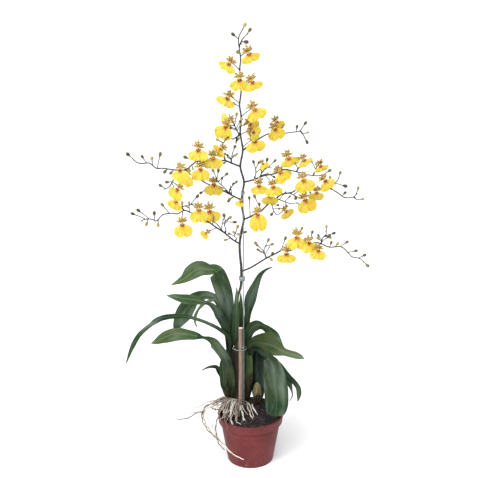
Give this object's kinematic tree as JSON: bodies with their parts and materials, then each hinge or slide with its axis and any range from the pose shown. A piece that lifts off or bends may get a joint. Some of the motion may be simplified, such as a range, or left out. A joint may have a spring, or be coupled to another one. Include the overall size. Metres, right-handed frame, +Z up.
{
  "type": "oncidium orchid in a nursery pot",
  "caption": "Oncidium orchid with pseudobulbs, strap leaves, aerial roots and a branching stem of yellow two-lobed flowers, staked in a round plastic nursery pot.",
  "frame": {"origin": "centre of the pot's flat underside", "axes": "+Z up, along the pot's axis; the flowers face -Y; +X is to the right when they are seen from the front"},
  "size_m": [0.4186, 0.1487, 0.7905],
  "materials": {
    "pot": "matte moulded terracotta-coloured plastic",
    "potting_mix": "damp dark bark chips",
    "bamboo": "dry bamboo cane",
    "wire": "grey-green coated wire",
    "tie": "soft grey-blue plastic",
    "pseudobulb": "smooth green plant skin",
    "old_pseudobulb": "dry wrinkled olive skin",
    "roots": "dry velvety orchid root",
    "leaf": "leathery satin leaf",
    "flower": "satin petals on thin brown stems"
  },
  "bodies": {
    "root": {"pot": "pot", "potting_mix": "potting_mix", "bamboo_stake": "bamboo", "support_wire": "wire", "ring_tie": "tie", "twist_tie": "tie", "stem_clip": "tie", "rhizome_with_roots": "roots", "pseudobulb_centre": "pseudobulb", "pseudobulb_left": "pseudobulb", "pseudobulb_back": "pseudobulb", "pseudobulb_old": "old_pseudobulb", "leaf_tall_left": "leaf", "leaf_tall_right": "leaf", "leaf_folded_front": "leaf", "leaf_folded_back": "leaf", "leaf_left_arching": "leaf", "leaf_left_behind": "leaf", "leaf_left_narrow": "leaf", "leaf_left_broad": "leaf", "leaf_left_long": "leaf", "leaf_left_curl": "leaf", "sheath_left_outer": "leaf", "sheath_left_inner": "leaf", "leaf_right_fold": "leaf", "leaf_right_fan": "leaf", "leaf_right_broad": "leaf", "leaf_right_low": "leaf", "leaf_right_hidden": "leaf", "flower_stem": "flower", "spray_left_low": "flower", "spray_left_middle": "flower", "spray_left_upper": "flower", "spray_left_short": "flower", "spray_right_top": "flower", "spray_right_upper": "flower", "spray_right_middle": "flower", "spray_right_low": "flower"}
  },
  "joints": []
}
